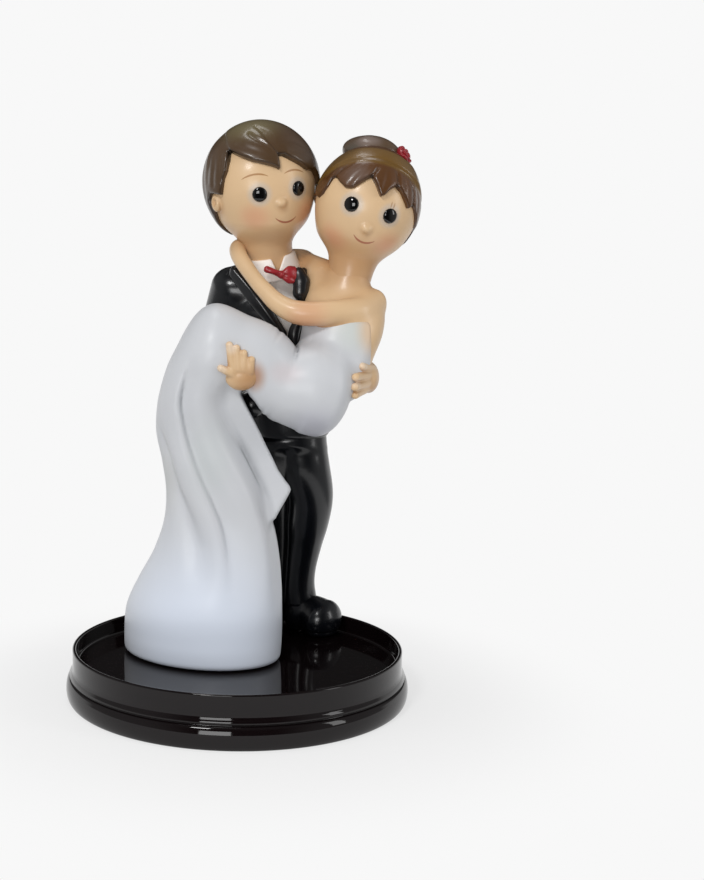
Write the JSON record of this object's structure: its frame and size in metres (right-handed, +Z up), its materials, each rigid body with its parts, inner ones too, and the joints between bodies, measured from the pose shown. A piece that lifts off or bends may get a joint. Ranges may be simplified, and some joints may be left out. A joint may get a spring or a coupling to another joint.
{
  "type": "wedding couple figurine",
  "caption": "Painted resin figurine of a groom in a dark suit carrying the bride in his arms, on a round glossy tray-shaped plinth.",
  "frame": {"origin": "bottom centre of the whole part's box, on the plane the plinth stands on; the plinth's own axis stands 1.25 mm to -X of it, because the bride's hair overhangs the foot on the other side", "axes": "+Z up; -Y is the front, where both faces look; +X is the viewer's right, the bride's head end"},
  "size_m": [0.0991, 0.0964, 0.161],
  "materials": {
    "plinth_gloss": "high gloss brownish black moulding",
    "screw_steel": "zinc-plated steel",
    "skin": "semi-gloss painted resin, tan with a pink blush",
    "groom_hair": "glossy dark brown paint",
    "bride_hair": "glossy dark brown paint with an olive gold sheen",
    "eye_enamel": "raised drop of black enamel",
    "red_enamel": "glossy red paint",
    "shirt": "semi-gloss white paint",
    "suit_lacquer": "high gloss black lacquer",
    "lapel_satin": "satin dark grey paint",
    "dress_pearl": "pearl white lacquer with a cool lilac grey cast"
  },
  "bodies": {
    "root": {"groom_eye_right": "eye_enamel", "groom_eye_left": "eye_enamel", "bride_eye_right": "eye_enamel", "bride_eye_left": "eye_enamel", "groom_head": "skin", "bride_head": "skin", "bride_hair_rose": "red_enamel", "bride_hair_bun": "bride_hair", "bride_arm_left": "skin", "bride_arm_right": "skin", "bride_hand_left": "skin", "bride_hand_right": "skin", "groom_hand_right": "skin", "groom_hand_left": "skin", "groom_bow_tie": "red_enamel", "groom_collar": "shirt", "bride_bodice": "dress_pearl", "bride_torso": "skin", "bride_skirt": "dress_pearl", "groom_sleeve_right": "suit_lacquer", "groom_sleeve_left": "suit_lacquer", "groom_lapel_right": "lapel_satin", "groom_lapel_left": "lapel_satin", "groom_shirt": "shirt", "groom_shoe_left": "suit_lacquer", "groom_shoe_right": "suit_lacquer", "groom_trousers": "suit_lacquer", "groom_jacket": "suit_lacquer", "bride_hair": "bride_hair", "groom_hair": "groom_hair", "dress_screw": "screw_steel", "shoe_screw": "screw_steel", "plinth": "plinth_gloss"}
  },
  "joints": []
}
